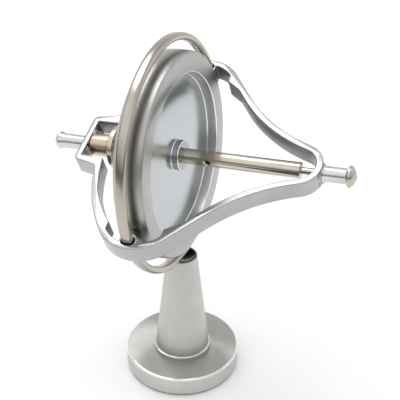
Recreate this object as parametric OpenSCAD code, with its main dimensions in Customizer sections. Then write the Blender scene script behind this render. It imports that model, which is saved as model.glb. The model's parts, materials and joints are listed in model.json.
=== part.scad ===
// Gyroscope balanced on its stand. The origin is the centre of the stand's underside and +Z is up.
// The gyroscope's pieces are drawn about its own centre with the spin axis along X, then placed.

/* [Stand] */
// Radius of the round base
base_r = 17; // [14:0.1:24]
// Height of the base's top above the table
base_top_z = 6.5; // [6:0.1:10]
// Rounding of the base's edges
base_edge_r = 0.6; // [0.2:0.1:1]
// Height of the column above the base
column_h = 33.2; // [24:0.1:60]
// Radius of the column at its top
column_top_r = 4.5; // [4.2:0.05:7]
// Radius of the column's cone at the base
column_foot_r = 8.2; // [7:0.1:11]
// Radius of the fillet round the column's foot
foot_fillet_r = 0.5; // [0.3:0.1:1.5]
// Height of the thin lip under that fillet
foot_lip_h = 0.9; // [0.1:0.05:1.2]

/* [Cup] */
// Distance from the turning cup out to the column's side
cup_wall = 0.3; // [0.2:0.05:0.8]
// Height of the cup piece
cup_h = 3.2; // [2.6:0.1:6]
// Width of the flat rim round the dimple
cup_rim_w = 0.1; // [0.05:0.05:0.5]
// Depth of the dimple
cup_dimple_depth = 1.6; // [0.8:0.1:2]

/* [Underside] */
// Distance from the pad out to the base's edge
pad_inset = 2.3; // [1.3:0.1:5]
// Thickness of the pad
pad_t = 0.7; // [0.4:0.1:1.2]
// Amount the pad stands below the base's rim
pad_proud = 0.1; // [0.05:0.05:0.3]
// Radius of the column screw's shank
screw_r = 2; // [1.5:0.1:2.5]
// Radius of the screw's head
screw_head_r = 3.6; // [3.1:0.1:4]
// Height of the screw's head
screw_head_h = 2.2; // [1.5:0.1:2.4]
// Length of the screw's shank
screw_length = 12.4; // [9:0.1:16]
// Width of the driver slot
screw_slot_w = 1; // [0.6:0.1:1.4]
// Depth of the driver slot
screw_slot_depth = 1.1; // [0.6:0.1:1.4]
// Radius of the washer
washer_r = 4.2; // [4.1:0.1:4.6]
// Thickness of the washer
washer_t = 0.8; // [0.5:0.1:1]

/* [Guard ring] */
// Radius to the middle of the ring's section
ring_r = 31.95; // [28.5:0.05:36]
// Thickness of the ring along its radius
ring_t = 2.1; // [1.6:0.1:2.4]
// Width of the ring along the spin axis
ring_w = 3.1; // [2.6:0.1:3.6]

/* [Frame] */
// Height of the frame, across its flat faces
frame_h = 5.5; // [5:0.1:7]
// Thickness of the frame's wall
frame_wall = 1.85; // [1.6:0.05:2.4]
// Amount the frame stands outside the guard ring's line
crown_proud = 2.53; // [2.15:0.01:3]
// Distance of the crown's middle in front of the guard ring
crown_x = 0.15; // [0:0.01:1]
// Radius of the crown's curve at the guard ring
crown_r = 11.85; // [10.5:0.05:12.5]
// Angle at which the straight run to the waist leaves that curve
crown_end_turn = 39.4; // [36:0.2:43]
// Distance of the flank behind the guard ring
flank_x = 20.1; // [17.7:0.1:22]
// Radius of the hollow curve towards the nose
waist_r = 45.25; // [42:0.25:50]
// Radius of the nose's curve
nose_r = 7.1; // [6:0.05:8]
// Distance of the nose's tip in front of the guard ring
nose_x = 42.5; // [38:0.1:47]
// Radius of the boss round the nose's pin
boss_r = 2.65; // [2.5:0.05:3.2]
// Height of that boss above the nose
boss_h = 0.15; // [0.1:0.05:1]

/* [Frame box] */
// Distance of the box's end face behind the flank
box_length = 6.3; // [5.8:0.1:8]
// Half of the box's width at its end
box_half_w = 8.2; // [7.8:0.1:9]
// Angle at which the box's sides flare towards the flank
box_flare = 11; // [0:1:14]
// Thickness of the box's end wall
box_wall = 1.75; // [1.6:0.05:2.6]
// Half of the width inside the box
box_inner_half_w = 6.5; // [6.3:0.1:7]
// Rounding of the box's outer corners
box_corner_r = 1.6; // [0.8:0.1:2]
// Radius of the fillet between the box and the flank
box_fillet_r = 1.6; // [0.8:0.1:2.5]

/* [Ring lugs] */
// Radius of the lug round each hole for the ring
lug_r = 2.5; // [2.3:0.1:2.8]
// Distance from the ring's line in to the middle of the lug
lug_inset = 0.35; // [0.2:0.05:0.5]
// Amount each shoulder beside the lugs stands inside the wall
shoulder_t = 1.4; // [1:0.05:1.8]
// Distance along the wall from the crown's end to each shoulder's tip
shoulder_step = 1.8; // [1.2:0.05:2.4]
// Length of the front shoulders, out to the plain wall
front_shoulder_length = 6.8; // [5:0.1:8.5]
// Length of the back shoulders, out to the plain wall
back_shoulder_length = 14.5; // [10:0.1:16]
// Rounding of the shoulders' tips
shoulder_edge_r = 0.5; // [0.2:0.1:0.8]

/* [Rotor] */
// Gap between the rotor's rim and the guard ring
rotor_gap = 2.4; // [2:0.05:4]
// Amount by which the rim falls away towards its edges
rotor_crown = 0.25; // [0.1:0.05:0.5]
// Half of the rim's width
rotor_half_w = 4.1; // [3.2:0.05:4.4]
// Chamfer on the rim's outer edges
rotor_edge = 0.4; // [0.2:0.05:0.8]
// Thickness of the rim round the recess
rim_t = 6.2; // [5:0.05:8]
// Amount by which the recess opens towards the rim's face
recess_flare = 0.45; // [0.1:0.05:0.8]
// Half of the web's thickness
web_half_t = 1.4; // [1:0.05:1.8]
// Radius of the hub's collar
hub_r = 4.2; // [3.6:0.05:5]
// Height of the hub's collar above the web
hub_h = 1.9; // [0.6:0.05:2.4]
// Radius of the hub's body in the web
hub_body_r = 3; // [2.5:0.05:3.4]

/* [Axle] */
// Radius of the axle's front length, where the string winds
axle_r = 2.15; // [2:0.05:2.4]
// Radius of the axle's length that carries the hub, flange and sleeve
axle_seat_r = 1.75; // [1.5:0.05:1.8]
// Gap from the hub's collar to the axle's shoulder
neck_w = 0.4; // [0.3:0.05:1]
// Gap from the axle's front end to the nose
axle_front_gap = 4.05; // [2:0.05:6]
// Chamfer on the axle's front end
axle_chamfer = 0.3; // [0.1:0.05:0.5]
// Radius of the string hole
string_hole_r = 0.7; // [0.5:0.05:0.8]
// Distance of the string hole from the guard ring
string_hole_x = 10.9; // [8:0.1:20]
// Angle of the string hole above the horizontal
string_hole_turn = -10; // [-30:1:90]
// Radius of the sleeve at the axle's back end
sleeve_r = 3.2; // [2.6:0.05:4]
// Gap from the sleeve's back end to the box's end wall
sleeve_gap = 0.65; // [0.3:0.05:2]
// Length of the sleeve
sleeve_length = 6.8; // [4:0.1:8]
// Radius of the flange in front of the sleeve
flange_r = 6; // [4:0.05:6.1]
// Thickness of that flange
flange_t = 1.4; // [0.8:0.1:2]

/* [Bearings] */
// Radius of the pivot pins
pivot_r = 0.95; // [0.7:0.05:1.1]
// Depth of each pivot pin inside the axle
pivot_seat = 2.4; // [1.5:0.1:4]
// Outer radius of the bearing bushes
bush_r = 1.6; // [1.4:0.05:1.7]
// Length of the bearing bushes
bush_length = 1.9; // [1.2:0.1:1.9]
// Radius of the thrust balls
thrust_ball_r = 0.75; // [0.5:0.05:1]

/* [End pins] */
// Radius of each pin's spigot inside the frame's wall
spigot_r = 2.3; // [2.2:0.05:2.45]
// Radius of each pin's shank
shank_r = 2.1; // [1.75:0.05:2.15]
// Radius of the round head on the back pin
ball_r = 2.55; // [2.35:0.05:3.5]
// Height of that head's dome
ball_dome_h = 1.7; // [1:0.1:2]
// Length of the flare between the shank and the round head
ball_flare = 1.2; // [0.6:0.1:2]
// Length of the back pin behind the box
ball_pin_length = 9.95; // [7.5:0.05:16]
// Radius of the flange on the front pin's head
head_r = 2.9; // [2.4:0.05:4]
// Length of the front pin in front of the nose
head_pin_length = 8.65; // [5.5:0.05:16]
// Height of the head's dome
head_dome_h = 1.4; // [0.8:0.1:2]
// Thickness of the head's rim
head_rim_t = 0.5; // [0.3:0.1:1]
// Length of the flare between the shank and the head
head_flare = 0.5; // [0.5:0.1:2]
// Radius of the dimple in the head's tip
head_dimple_r = 0.75; // [0.4:0.05:1]

/* [Resting pose] */
// Upward tilt of the spin axis towards the nose
spin_tilt = 4.5; // [0:0.5:12]
// Turn of the frame about the spin axis, near side down
frame_roll = 21; // [0:1:45]
// Largest further tilt of the gyroscope on the cup
tilt_range = 15; // [5:1:20]

/* [Clearances] */
// Radial gap of the turning fits
running_gap = 0.05; // [0.03:0.01:0.1]
// Gap between the guard ring and the cup's rim at full tilt
ring_rest_gap = 0.15; // [0.1:0.01:0.3]
// Gap between the guard ring and the frame's lugs
lug_gap = 0.3; // [0.2:0.05:0.4]
// Gap round the screw and the pad
loose_gap = 0.1; // [0.05:0.05:0.3]

/* [Hidden] */
$fn = 96;

// Length by which a cutter runs past the solid that it cuts
past = 1;
// Largest turn between two points of an arc of the frame's curve
arc_step = 4;
// Steps along a shoulder and round its tip
shoulder_steps = 6;

// Stand
column_top_z = base_top_z + column_h;
pad_r = base_r - pad_inset;
counterbore_r = washer_r + loose_gap;
screw_seat_z = pad_t + loose_gap + screw_head_h + washer_t;
screw_hole_r = screw_r + loose_gap;
cup_r = column_top_r - cup_wall;
cup_dimple_mouth_r = cup_r - cup_rim_w;
cup_dimple_r = (pow(cup_dimple_mouth_r, 2) + pow(cup_dimple_depth, 2)) / (2 * cup_dimple_depth);

// Guard ring, as it stands on the cup's rim
ring_outer_r = ring_r + ring_t / 2;
ring_flat = ring_w / 2 - ring_t / 2;
rim_sag = ring_outer_r - sqrt(pow(ring_outer_r, 2) - pow(cup_dimple_mouth_r, 2));
ring_support = ring_t / 2 + ring_flat * sin(spin_tilt + tilt_range);
ring_foot_z = column_top_z + ring_support - rim_sag + ring_rest_gap;
gyro_centre = [-ring_r * sin(spin_tilt), 0, ring_foot_z + ring_r * cos(spin_tilt)];

// Frame's curves: each centre follows from the curves that it is tangent to
crown_centre = [crown_x, ring_r + crown_proud - crown_r];
flank_to_crown = flank_x + crown_x;
flank_r = (pow(flank_to_crown, 2) + pow(crown_centre.y, 2) - pow(crown_r, 2))
    / (2 * (flank_to_crown - crown_r));
flank_centre = [flank_r - flank_x, 0];
nose_centre = [nose_x - nose_r, 0];
crown_end = [cos(crown_end_turn), sin(crown_end_turn)];
run_along = [crown_end.y, -crown_end.x];
waist_start = crown_centre + (crown_r + waist_r) * crown_end;
waist_centre = line_meets_circle(waist_start, run_along, nose_centre, nose_r + waist_r);
box_x = flank_x + box_length;
box_side = [cos(box_flare), sin(box_flare)];
box_side_out = [-sin(box_flare), cos(box_flare)];
box_side_start = [-box_x + box_corner_r, box_half_w];
box_fillet_start = box_side_start + box_fillet_r * box_side_out;
box_fillet_centre = line_meets_circle(box_fillet_start, box_side, flank_centre, flank_r + box_fillet_r);
box_inner_x = box_x - box_wall;
nose_inner_x = nose_x - frame_wall;
lug_centre_y = ring_r - lug_inset;

// Rotor and axle
rotor_r = ring_r - ring_t / 2 - rotor_gap;
recess_r = rotor_r - rim_t;
crown_arc_r = (pow(rotor_half_w, 2) + pow(rotor_crown, 2)) / (2 * rotor_crown);
axle_shoulder_x = web_half_t + hub_h + neck_w;
axle_front_x = nose_inner_x - axle_front_gap;
sleeve_back_x = box_inner_x - sleeve_gap;
sleeve_front_x = sleeve_back_x - sleeve_length;

// Bearings
back_bore_x = box_inner_x + bush_length;
front_bore_x = nose_inner_x + bush_length;
ball_pocket_r = thrust_ball_r + running_gap;

// End pins
ball_tip_x = box_x + ball_pin_length;
head_tip_x = nose_x + head_pin_length;

// First point where a line from a start point meets a circle from outside
function line_meets_circle(start, direction, centre, r) =
    let(m = start - centre, b = m * direction, c = m * m - r * r)
    start + direction * (-b - sqrt(b * b - c));

// Puts a piece from the gyroscope's own centre and axis onto the stand
module on_stand() {
    translate(gyro_centre)
        rotate([0, -spin_tilt, 0])
            children();
}

// As above, for the pieces that keep the frame's turn
module on_frame() {
    on_stand()
        rotate([frame_roll, 0, 0])
            children();
}

// Turns a section drawn as radius and distance along the spin axis
module turned_about_x() {
    rotate([0, 90, 0])
        rotate_extrude()
            children();
}

// Round bar along the spin axis between two places
module bar(r, from_x, to_x) {
    translate([from_x, 0, 0])
        rotate([0, 90, 0])
            cylinder(r = r, h = to_x - from_x);
}

// Section of a disc with rounded outer edges
module rounded_disc_section(r, h, edge) {
    square([r - edge, h]);
    translate([0, edge])
        square([r, h - 2 * edge]);
    for (y = [edge, h - edge])
        translate([r - edge, y])
            circle(edge);
}

// Section of the guard ring, grown by a gap
module ring_section(gap) {
    r = ring_t / 2 + gap;
    translate([ring_r - r, -ring_flat])
        square([2 * r, 2 * ring_flat]);
    for (side = [-1, 1])
        translate([ring_r, side * ring_flat])
            circle(r);
}

// Draws a shape of the frame's plane on both sides of the spin axis
module both_sides() {
    children();
    mirror([0, 1])
        children();
}

// Points of an arc about a centre between two angles
function arc(centre, r, from, to) =
    let(steps = ceil(abs(to - from) / arc_step))
    [for (i = [0:steps])
        let(turn = from + (to - from) * i / steps)
        centre + r * [cos(turn), sin(turn)]];

// Angle of the direction from one point to another
function heading(a, b) = atan2(b.y - a.y, b.x - a.x);

// Upper half of the frame's curve from a place on the flank to the nose's tip, drawn in by an inset
function upper_curve(inset, flank_turn) =
    let(
        at_crown = heading(flank_centre, crown_centre),
        at_nose = heading(nose_centre, waist_centre)
    )
    concat(
        arc(flank_centre, flank_r - inset, flank_turn, at_crown),
        arc(crown_centre, crown_r - inset, at_crown, crown_end_turn),
        arc(waist_centre, waist_r + inset, crown_end_turn + 180, at_nose + 180),
        arc(nose_centre, nose_r - inset, at_nose, 0)
    );

// Upper curve outside, with the box's rounded corner and its fillet
function outer_half() =
    concat(
        [[-box_x, 0]],
        arc(box_side_start - [0, box_corner_r], box_corner_r, 180, 90 + box_flare),
        arc(box_fillet_centre, box_fillet_r, box_flare - 90, heading(box_fillet_centre, flank_centre)),
        upper_curve(0, heading(flank_centre, box_fillet_centre))
    );

// Upper curve inside, with the inside of the box
function inner_half() =
    let(mouth_turn = 180 - asin(box_inner_half_w / (flank_r - frame_wall)))
    concat(
        [[-box_inner_x, 0], [-box_inner_x, box_inner_half_w]],
        upper_curve(frame_wall, mouth_turn)
    );

// Corner at b between a and c, rounded by an arc of points
function round_corner(a, b, c, r) =
    let(
        back = (a - b) / norm(a - b),
        on = (c - b) / norm(c - b),
        half = acos(back * on) / 2,
        middle = b + (back + on) / norm(back + on) * r / sin(half),
        from = heading(middle, b + back * r / tan(half)),
        to = heading(middle, b + on * r / tan(half))
    )
    [for (i = [0:shoulder_steps])
        let(turn = from + (to - from) * i / shoulder_steps)
        middle + r * [cos(turn), sin(turn)]];

// Place on the wall's inner face behind the crown, at an angle about the flank's centre
function on_flank(turn, inset) = flank_centre + (flank_r - frame_wall - inset) * [cos(turn), sin(turn)];

// Place on the inner face of the straight run in front of the crown
function on_run(along, inset) =
    crown_centre + (crown_r - frame_wall - inset) * crown_end + along * run_along;

// Shoulder behind the lug: it thins towards the flank and steps back to the wall at the crown
function back_shoulder() =
    let(
        crown_turn = heading(flank_centre, crown_centre),
        per_length = 180 / PI / flank_r,
        tip_turn = crown_turn + shoulder_step * per_length,
        end_turn = crown_turn + back_shoulder_length * per_length,
        taper = [for (i = [0:shoulder_steps])
            let(share = i / shoulder_steps)
            on_flank(end_turn + (tip_turn - end_turn) * share, shoulder_t * share)],
        foot = on_flank(crown_turn, 0)
    )
    concat(
        [for (i = [0:shoulder_steps - 1]) taper[i]],
        round_corner(taper[shoulder_steps - 1], taper[shoulder_steps], foot, shoulder_edge_r),
        [foot, on_flank(crown_turn, -frame_wall / 2), on_flank(end_turn, -frame_wall / 2)]
    );

// Shoulder in front of the lug, along the straight run
function front_shoulder() =
    let(
        foot = on_run(0, 0),
        tip = on_run(shoulder_step, shoulder_t),
        end = on_run(front_shoulder_length, 0)
    )
    concat(
        [on_run(front_shoulder_length, -frame_wall / 2), on_run(0, -frame_wall / 2), foot],
        round_corner(foot, tip, end, shoulder_edge_r),
        [end]
    );

// Closed curve of an upper half and its mirror image
function both_halves(half) =
    concat(half, [for (i = [len(half) - 2:-1:1]) [half[i].x, -half[i].y]]);

module frame_shape() {
    difference() {
        polygon(both_halves(outer_half()));
        polygon(both_halves(inner_half()));
    }
    both_sides() {
        translate([0, lug_centre_y])
            circle(lug_r);
        polygon(back_shoulder());
        polygon(front_shoulder());
    }
}

module stand_base() {
    color("silver")
        difference() {
            translate([0, 0, pad_proud])
                rotate_extrude()
                    rounded_disc_section(base_r, base_top_z - pad_proud, base_edge_r);
            translate([0, 0, pad_proud - past])
                cylinder(r = pad_r + loose_gap, h = pad_t - pad_proud + past);
            translate([0, 0, pad_t - past])
                cylinder(r = counterbore_r, h = screw_seat_z - pad_t + past);
            cylinder(r = screw_hole_r, h = base_top_z + past);
        }
}

module stand_column() {
    cone_slope = (column_foot_r - column_top_r) / column_h;
    cone_angle = atan(cone_slope);
    reach = foot_fillet_r / tan(45 + cone_angle / 2);
    lip_r = column_foot_r - cone_slope * foot_lip_h;
    screw_top_z = screw_seat_z - washer_t + screw_length;
    color("silver")
        difference() {
            rotate_extrude() {
                polygon([
                    [0, base_top_z],
                    [column_foot_r, base_top_z],
                    [column_top_r, column_top_z],
                    [0, column_top_z]
                ]);
                square_foot_r = lip_r + reach;
                translate([0, base_top_z])
                    square([square_foot_r, foot_lip_h]);
                translate([0, base_top_z + foot_lip_h])
                    difference() {
                        polygon([
                            [0, -foot_lip_h / 2],
                            [square_foot_r, -foot_lip_h / 2],
                            [square_foot_r, 0],
                            [lip_r - reach * sin(cone_angle), reach * cos(cone_angle)],
                            [0, reach]
                        ]);
                        translate([square_foot_r, foot_fillet_r])
                            circle(foot_fillet_r);
                    }
            }
            translate([0, 0, base_top_z - past])
                cylinder(r = screw_r, h = screw_top_z + loose_gap - base_top_z + past);
            translate([0, 0, column_top_z - cup_h - running_gap])
                cylinder(r = cup_r + running_gap, h = cup_h + past);
        }
}

module column_screw() {
    head_top_z = screw_seat_z - washer_t;
    color("dimgray")
        difference() {
            union() {
                translate([0, 0, head_top_z - screw_head_h])
                    cylinder(r = screw_head_r, h = screw_head_h);
                translate([0, 0, head_top_z])
                    cylinder(r = screw_r, h = screw_length);
            }
            translate([-screw_head_r - past, -screw_slot_w / 2, head_top_z - screw_head_h - past])
                cube([2 * (screw_head_r + past), screw_slot_w, screw_slot_depth + past]);
        }
}

module screw_washer() {
    color("dimgray")
        translate([0, 0, screw_seat_z - washer_t])
            difference() {
                cylinder(r = washer_r, h = washer_t);
                translate([0, 0, -past])
                    cylinder(r = screw_hole_r, h = washer_t + 2 * past);
            }
}

module base_pad() {
    color("black")
        cylinder(r = pad_r, h = pad_t);
}

module cup_insert() {
    color("gray")
        translate([0, 0, column_top_z - cup_h])
            rotate_extrude()
                difference() {
                    square([cup_r, cup_h]);
                    translate([0, cup_h - cup_dimple_depth + cup_dimple_r])
                        circle(cup_dimple_r);
                }
}

module guard_ring() {
    color("wheat")
        on_stand()
            turned_about_x()
                ring_section(0);
}

module frame() {
    color("gainsboro")
        on_frame()
            difference() {
                union() {
                    translate([0, 0, -frame_h / 2])
                        linear_extrude(frame_h)
                            frame_shape();
                    bar(boss_r, nose_inner_x, nose_x + boss_h);
                }
                turned_about_x()
                    ring_section(lug_gap);
                bar(spigot_r, -box_x - past, -box_inner_x + past);
                bar(spigot_r, nose_inner_x - past, nose_x + boss_h + past);
            }
}

// Bore of an end pin, from the spigot's inner face outwards: the bush's seat and the ball's pocket
module bearing_bore() {
    bar(bush_r, -past, bush_length);
    bar(ball_pocket_r, bush_length - past, bush_length + 2 * thrust_ball_r + running_gap);
}

// Dome of a pin's head above its base circle
module dome(base_circle_r, height, tip_x) {
    dome_r = (pow(base_circle_r, 2) + pow(height, 2)) / (2 * height);
    turned_about_x()
        intersection() {
            translate([0, tip_x - dome_r])
                circle(dome_r);
            translate([0, tip_x - height])
                square([base_circle_r, height]);
        }
}

module ball_end_pin() {
    dome_foot_x = ball_tip_x - ball_dome_h;
    color("silver")
        on_frame()
            difference() {
                union() {
                    bar(spigot_r, -box_x, -box_inner_x);
                    mirror([1, 0, 0]) {
                        turned_about_x()
                            polygon([
                                [0, box_x - past],
                                [shank_r, box_x - past],
                                [shank_r, dome_foot_x - ball_flare],
                                [ball_r, dome_foot_x],
                                [0, dome_foot_x]
                            ]);
                        dome(ball_r, ball_dome_h, ball_tip_x);
                    }
                }
                translate([-box_inner_x, 0, 0])
                    mirror([1, 0, 0])
                        bearing_bore();
            }
}

module flange_end_pin() {
    root_x = nose_x + boss_h;
    rim_front_x = head_tip_x - head_dome_h;
    rim_back_x = rim_front_x - head_rim_t;
    color("tan")
        on_frame()
            difference() {
                union() {
                    bar(spigot_r, nose_inner_x, root_x);
                    turned_about_x()
                        polygon([
                            [0, root_x - past],
                            [shank_r, root_x - past],
                            [shank_r, rim_back_x - head_flare],
                            [head_r, rim_back_x],
                            [head_r, rim_front_x],
                            [0, rim_front_x]
                        ]);
                    dome(head_r, head_dome_h, head_tip_x);
                }
                translate([nose_inner_x, 0, 0])
                    bearing_bore();
                translate([head_tip_x, 0, 0])
                    rotate([0, 90, 0])
                        sphere(head_dimple_r);
            }
}

// Bearing bush, placed by its inner end and drawn outwards
module bearing_bush() {
    difference() {
        bar(bush_r, 0, bush_length);
        bar(pivot_r + running_gap, -past, bush_length + past);
    }
}

module left_bush() {
    color("goldenrod")
        on_frame()
            translate([-box_inner_x, 0, 0])
                mirror([1, 0, 0])
                    bearing_bush();
}

module right_bush() {
    color("goldenrod")
        on_frame()
            translate([nose_inner_x, 0, 0])
                bearing_bush();
}

module left_thrust_ball() {
    color("gray")
        on_frame()
            translate([-back_bore_x - running_gap - thrust_ball_r, 0, 0])
                rotate([0, 90, 0])
                    sphere(thrust_ball_r);
}

module right_thrust_ball() {
    color("gray")
        on_frame()
            translate([front_bore_x + running_gap + thrust_ball_r, 0, 0])
                rotate([0, 90, 0])
                    sphere(thrust_ball_r);
}

module rotor_rim() {
    edge_r = rotor_r - rotor_crown;
    color("lightgray")
        on_stand()
            turned_about_x()
                intersection() {
                    polygon([
                        [recess_r, -web_half_t],
                        [recess_r + recess_flare, -rotor_half_w],
                        [edge_r - rotor_edge, -rotor_half_w],
                        [rotor_r, -rotor_half_w + rotor_edge + rotor_crown],
                        [rotor_r, rotor_half_w - rotor_edge - rotor_crown],
                        [edge_r - rotor_edge, rotor_half_w],
                        [recess_r + recess_flare, rotor_half_w],
                        [recess_r, web_half_t]
                    ]);
                    translate([rotor_r - crown_arc_r, 0])
                        circle(crown_arc_r);
                }
}

module rotor_disc() {
    color("lightsteelblue")
        on_stand()
            difference() {
                bar(recess_r, -web_half_t, web_half_t);
                bar(hub_body_r, -web_half_t - past, web_half_t + past);
            }
}

module hub_bush() {
    color("silver")
        on_stand()
            difference() {
                union() {
                    bar(hub_body_r, -web_half_t - hub_h, web_half_t + hub_h);
                    bar(hub_r, web_half_t, web_half_t + hub_h);
                }
                bar(axle_seat_r, -web_half_t - hub_h - past, web_half_t + hub_h + past);
            }
}

module axle() {
    color("tan")
        on_stand()
            difference() {
                union() {
                    bar(axle_seat_r, -sleeve_back_x, axle_shoulder_x);
                    turned_about_x()
                        polygon([
                            [0, axle_shoulder_x],
                            [axle_r, axle_shoulder_x],
                            [axle_r, axle_front_x - axle_chamfer],
                            [axle_r - axle_chamfer, axle_front_x],
                            [0, axle_front_x]
                        ]);
                }
                bar(pivot_r, -sleeve_back_x - past, -sleeve_back_x + pivot_seat);
                bar(pivot_r, axle_front_x - pivot_seat, axle_front_x + past);
                translate([string_hole_x, 0, 0])
                    rotate([90 - string_hole_turn, 0, 0])
                        cylinder(r = string_hole_r, h = 2 * (axle_r + past), center = true);
            }
}

module sleeve() {
    color("tan")
        on_stand()
            difference() {
                bar(sleeve_r, -sleeve_back_x, -sleeve_front_x);
                bar(axle_seat_r, -sleeve_back_x - past, -sleeve_front_x + past);
            }
}

module sleeve_flange() {
    color("gray")
        on_stand()
            difference() {
                bar(flange_r, -sleeve_front_x, -sleeve_front_x + flange_t);
                bar(axle_seat_r, -sleeve_front_x - past, -sleeve_front_x + flange_t + past);
            }
}

module left_pivot_pin() {
    color("gray")
        on_stand()
            bar(pivot_r, -back_bore_x, -sleeve_back_x + pivot_seat);
}

module right_pivot_pin() {
    color("gray")
        on_stand()
            bar(pivot_r, axle_front_x - pivot_seat, front_bore_x);
}

stand_base();
stand_column();
column_screw();
screw_washer();
base_pad();
cup_insert();
guard_ring();
frame();
ball_end_pin();
flange_end_pin();
left_bush();
right_bush();
left_thrust_ball();
right_thrust_ball();
rotor_rim();
rotor_disc();
hub_bush();
axle();
sleeve();
sleeve_flange();
left_pivot_pin();
right_pivot_pin();
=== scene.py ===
"""Gyroscope on its stand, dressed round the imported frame. Lengths are in metres and +Z is up."""

import json
import math

import bpy
from bpy.props import FloatProperty, FloatVectorProperty, IntProperty, PointerProperty
from mathutils import Matrix, Vector


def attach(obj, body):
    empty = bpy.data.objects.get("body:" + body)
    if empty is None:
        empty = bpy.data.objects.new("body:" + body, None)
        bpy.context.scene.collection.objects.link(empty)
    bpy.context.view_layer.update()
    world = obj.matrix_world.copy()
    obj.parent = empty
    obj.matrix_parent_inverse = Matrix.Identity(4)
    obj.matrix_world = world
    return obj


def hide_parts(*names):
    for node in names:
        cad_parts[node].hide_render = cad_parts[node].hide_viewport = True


bl_info = {
    "name": "Gyroscope on stand",
    "version": (1, 0, 0),
    "blender": (4, 5, 0),
    "location": "3D View > Sidebar > Gyroscope",
    "description": "Models a demonstration gyroscope and its stand round a packed frame",
    "category": "Object",
}

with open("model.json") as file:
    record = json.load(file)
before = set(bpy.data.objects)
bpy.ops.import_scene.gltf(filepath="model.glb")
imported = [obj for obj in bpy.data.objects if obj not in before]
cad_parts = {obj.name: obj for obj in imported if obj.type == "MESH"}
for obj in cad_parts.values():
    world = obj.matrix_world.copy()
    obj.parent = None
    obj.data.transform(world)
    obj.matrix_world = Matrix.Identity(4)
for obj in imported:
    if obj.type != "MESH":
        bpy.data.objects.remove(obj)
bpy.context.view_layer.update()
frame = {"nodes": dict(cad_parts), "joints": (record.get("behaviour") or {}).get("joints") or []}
MM = 0.001
TINY = 1e-6
# Roundings of turned edges, in millimetres
CRISP = 0.05
EASED = 0.1
SOFT = 0.3
# Angles past which an edge stays sharp, for turned and cast pieces, and past which the cast frame is bevelled
TURNED_SHARP = math.radians(32)
CAST_SHARP = math.radians(30)
CAST_BEVELLED = math.radians(40)
# Scales of the patterns in the metals, in cells per metre
CLOUD_SCALE = 220.0
SPECK_SCALE = 2600.0
LATHE_SCALE = 5200.0
BAND_SCALE = 700.0
WORN_SCALE = 90.0
GRAIN_SCALE = 1800.0
# The sleeve's groove: distance behind the sleeve's front, depth and rounding, in millimetres
SLEEVE_GROOVE = [(1.75, 0, CRISP), (1.68, 0.12, 0.02), (1.58, 0.12, 0.02), (1.5, 0, CRISP)]
# Name, place in metres, width in metres and power in watts of each lamp
LAMPS = [
    ("key_softbox", (-0.22, 0.12, 0.55), 0.34, 0.75),
    ("high_softbox", (-0.03, 0.075, 0.65), 0.16, 0.3),
    ("fill_softbox", (0.45, 0.35, 0.45), 0.3, 0.15),
]
LAMP_AIM = Vector((0, 0, 0.05))
# Brightness of the studio by height, from straight down at 0 to straight up at 1
ROOM_LEVELS = [
    (0.0, 0.4), (0.47, 0.4), (0.49, 0.12), (0.56, 0.1), (0.63, 0.6), (0.76, 1.0), (0.88, 1.15), (1.0, 0.8)
]
BACKDROP_LEVELS = [
    (0.0, 0.5), (0.47, 0.6), (0.52, 0.8), (0.65, 0.75), (0.77, 0.62), (0.87, 0.52), (1.0, 0.7)
]
# Where the room passes into the backdrop, by depth from 0 at the camera's side to 1
BACKDROP_SIDE = [(0.36, 0.0), (0.62, 1.0)]


def joint(name):
    """Axis and place of one of the frame's joints."""
    found = next(j for j in frame["joints"] if j["name"] == name)
    return Vector(found["axis"]).normalized(), Vector(found["pos_m"])


SPIN_AXIS, GYRO_CENTRE = joint("rotor_spin")
CUP_TOP = joint("precession")[1].z
SPIN_TILT = math.asin(SPIN_AXIS.z)


def millimetres(name, default, description):
    """A length that the sidebar shows, in millimetres."""
    return FloatProperty(name=name, description=description, default=default, min=0.01, precision=3)


def angle(name, default, description):
    """An angle that the sidebar shows in degrees and the script reads in radians."""
    return FloatProperty(
        name=name, description=description, default=math.radians(default), subtype="ANGLE", unit="ROTATION"
    )


def colour(name, default, description):
    """A linear colour for a finish."""
    return FloatVectorProperty(
        name=name, description=description, default=default, size=3, min=0, max=1, subtype="COLOR"
    )


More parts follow.
